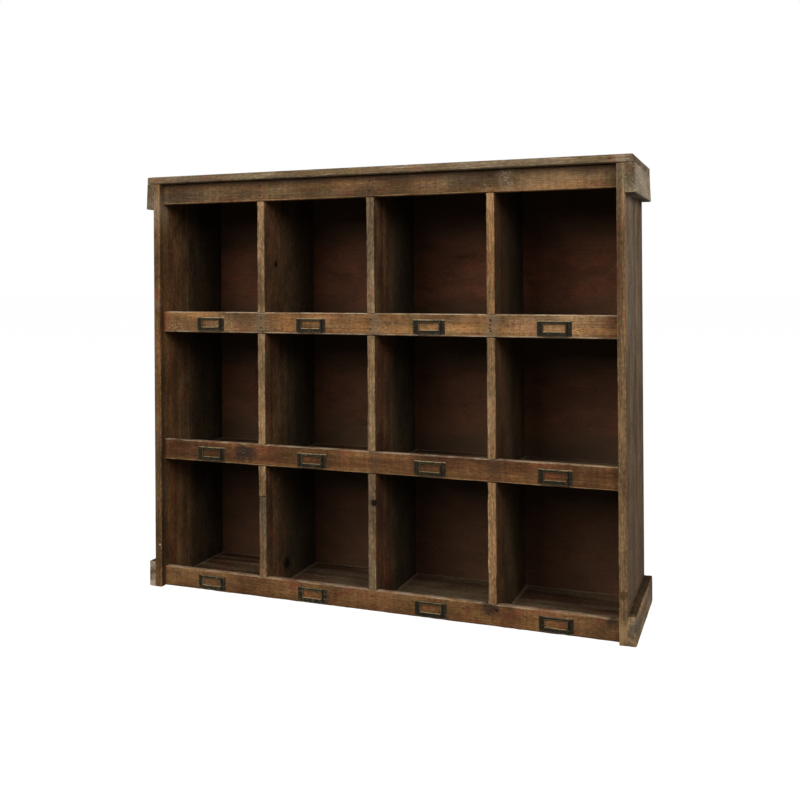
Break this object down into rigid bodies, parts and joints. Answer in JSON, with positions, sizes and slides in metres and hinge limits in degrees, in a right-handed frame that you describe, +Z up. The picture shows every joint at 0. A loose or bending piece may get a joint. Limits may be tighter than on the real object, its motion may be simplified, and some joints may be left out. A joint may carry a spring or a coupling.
{
  "type": "cubby wall shelf",
  "caption": "Wooden wall shelf with rows of open cubbies, deep front rails, metal label holders on the rails, and short cleats at the ends of the top and base.",
  "frame": {"origin": "middle of the base, on the surface that the shelf can stand on", "axes": "+X to the right along the front, +Y from the front to the wall, +Z up"},
  "size_m": [1.1236, 0.28, 0.957],
  "materials": {
    "weathered_wood": "worn, waxed, open grained",
    "warm_rail_wood": "worn, oiled",
    "red_rail_wood": "worn, oiled",
    "divider_wood": "worn, oiled",
    "shelf_wood": "dusty, worn",
    "back_wood": "dark stain",
    "holder_metal": "aged bronze",
    "pin_metal": "aged bronze",
    "nail_iron": "rusted",
    "hanger_steel": "dull zinc"
  },
  "bodies": {
    "root": {"top_board": "weathered_wood", "top_cleat_left": "weathered_wood", "top_cleat_right": "weathered_wood", "base_cleat_left": "weathered_wood", "base_cleat_right": "weathered_wood", "left_side_panel": "weathered_wood", "right_side_panel": "weathered_wood", "top_rail": "warm_rail_wood", "upper_shelf_rail": "warm_rail_wood", "lower_shelf_rail": "red_rail_wood", "base_rail": "red_rail_wood", "left_divider": "divider_wood", "middle_divider": "divider_wood", "right_divider": "divider_wood", "left_divider_splice": "divider_wood", "bottom_board": "shelf_wood", "lower_shelf": "shelf_wood", "upper_shelf": "shelf_wood", "back_panel": "back_wood", "label_holder_row1_column1": "holder_metal", "label_holder_row1_column2": "holder_metal", "label_holder_row1_column3": "holder_metal", "label_holder_row1_column4": "holder_metal", "label_holder_row2_column1": "holder_metal", "label_holder_row2_column2": "holder_metal", "label_holder_row2_column3": "holder_metal", "label_holder_row2_column4": "holder_metal", "label_holder_row3_column1": "holder_metal", "label_holder_row3_column2": "holder_metal", "label_holder_row3_column3": "holder_metal", "label_holder_row3_column4": "holder_metal", "label_holder_pins": "pin_metal", "rail_nails": "nail_iron", "top_board_nails": "nail_iron", "back_panel_nails": "nail_iron", "base_cleat_nails_left": "nail_iron", "base_cleat_nails_right": "nail_iron", "top_cleat_nails_left": "nail_iron", "top_cleat_nails_right": "nail_iron", "left_hanger_plate": "hanger_steel", "right_hanger_plate": "hanger_steel", "hanger_screws": "hanger_steel"}
  },
  "joints": []
}
